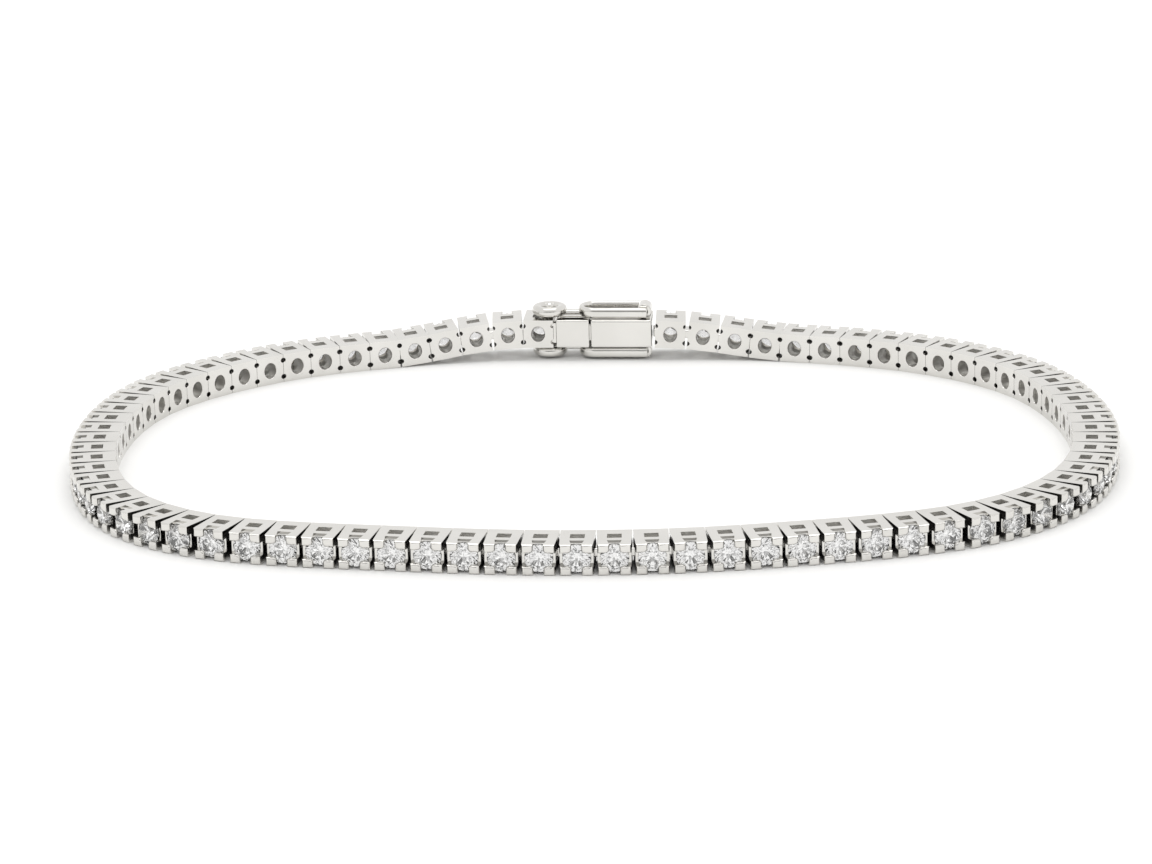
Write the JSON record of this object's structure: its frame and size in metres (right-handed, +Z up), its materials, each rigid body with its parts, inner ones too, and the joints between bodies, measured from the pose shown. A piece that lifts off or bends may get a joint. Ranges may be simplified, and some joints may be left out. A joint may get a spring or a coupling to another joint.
{
  "type": "tennis bracelet",
  "caption": "Closed chain of small square four-prong settings with round stones facing outwards, and a box clasp with a hinged safety latch on each side, lying on its side.",
  "frame": {"origin": "on the surface that the bracelet lies on, below the middle of its bounding box", "axes": "+X along the loop's longer way, +Y from the front of the loop towards the clasp, +Z up"},
  "size_m": [0.0658, 0.0504, 0.0037],
  "materials": {
    "white_metal": "polished rhodium-bright white gold, warm grey",
    "stone": "clear colourless brilliant-cut stone"
  },
  "bodies": {
    "bracelet": {"chain_right": "white_metal", "chain_left": "white_metal", "clasp_box": "white_metal", "clasp_tongue": "white_metal"},
    "latch_upper": {"safety_latch_upper": "white_metal"},
    "latch_lower": {"safety_latch_lower": "white_metal"}
  },
  "joints": [
    {"name": "latch_upper_swing", "type": "hinge", "parent": "bracelet", "child": "latch_upper", "pos_m": [0.00394, 0.02214, 0.00324], "axis": [0.0931, 0.9957, 0], "range_deg": [0, 150]},
    {"name": "latch_lower_swing", "type": "hinge", "parent": "bracelet", "child": "latch_lower", "pos_m": [0.00394, 0.02214, 0.0005], "axis": [-0.0931, -0.9957, 0], "range_deg": [0, 150]}
  ]
}
